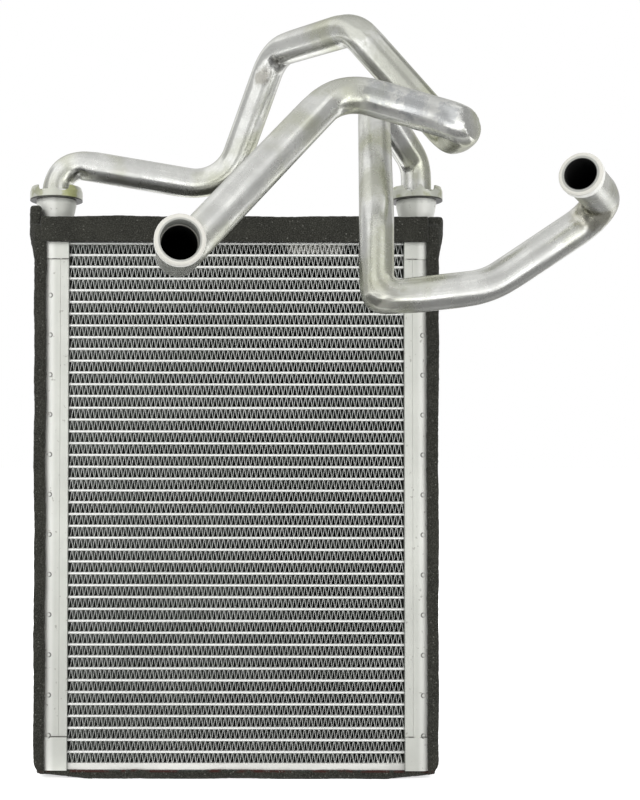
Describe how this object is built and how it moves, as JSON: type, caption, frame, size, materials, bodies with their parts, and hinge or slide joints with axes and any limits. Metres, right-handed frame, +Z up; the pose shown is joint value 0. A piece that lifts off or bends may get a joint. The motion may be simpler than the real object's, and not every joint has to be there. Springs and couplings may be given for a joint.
{
  "type": "heater core",
  "caption": "Brazed aluminium heater core: flat tubes and folded fins between upright tanks, foam strips round the edge, and bent coolant pipes crimped to the necks.",
  "frame": {"origin": "middle of the flat underside of the bottom foam strip, which seats in the heater box", "axes": "+Z up along the tanks, +X across the core to the tank with the shorter pipe, -Y to the side that the pipe mouths point to"},
  "size_m": [0.2771, 0.2379, 0.3872],
  "materials": {
    "tubes": "satin",
    "fins": "satin",
    "plates": "satin",
    "tanks": "satin",
    "collars": "satin",
    "pipes": "satin",
    "seals": "matte",
    "foam": "matte"
  },
  "bodies": {
    "root": {"flat_tubes": "tubes", "fin_rows": "fins", "bottom_side_plate": "plates", "top_side_plate": "plates", "left_header_plate": "tanks", "left_tank_cover": "tanks", "left_top_cap": "tanks", "left_bottom_cap": "tanks", "left_neck": "tanks", "right_header_plate": "tanks", "right_tank_cover": "tanks", "right_top_cap": "tanks", "right_bottom_cap": "tanks", "right_neck": "tanks", "left_crimp_collar": "collars", "right_crimp_collar": "collars", "left_pipe": "pipes", "right_pipe": "pipes", "left_seal_ring": "seals", "right_seal_ring": "seals", "bottom_foam": "foam", "top_foam": "foam", "left_foam": "foam", "right_foam": "foam"}
  },
  "joints": []
}
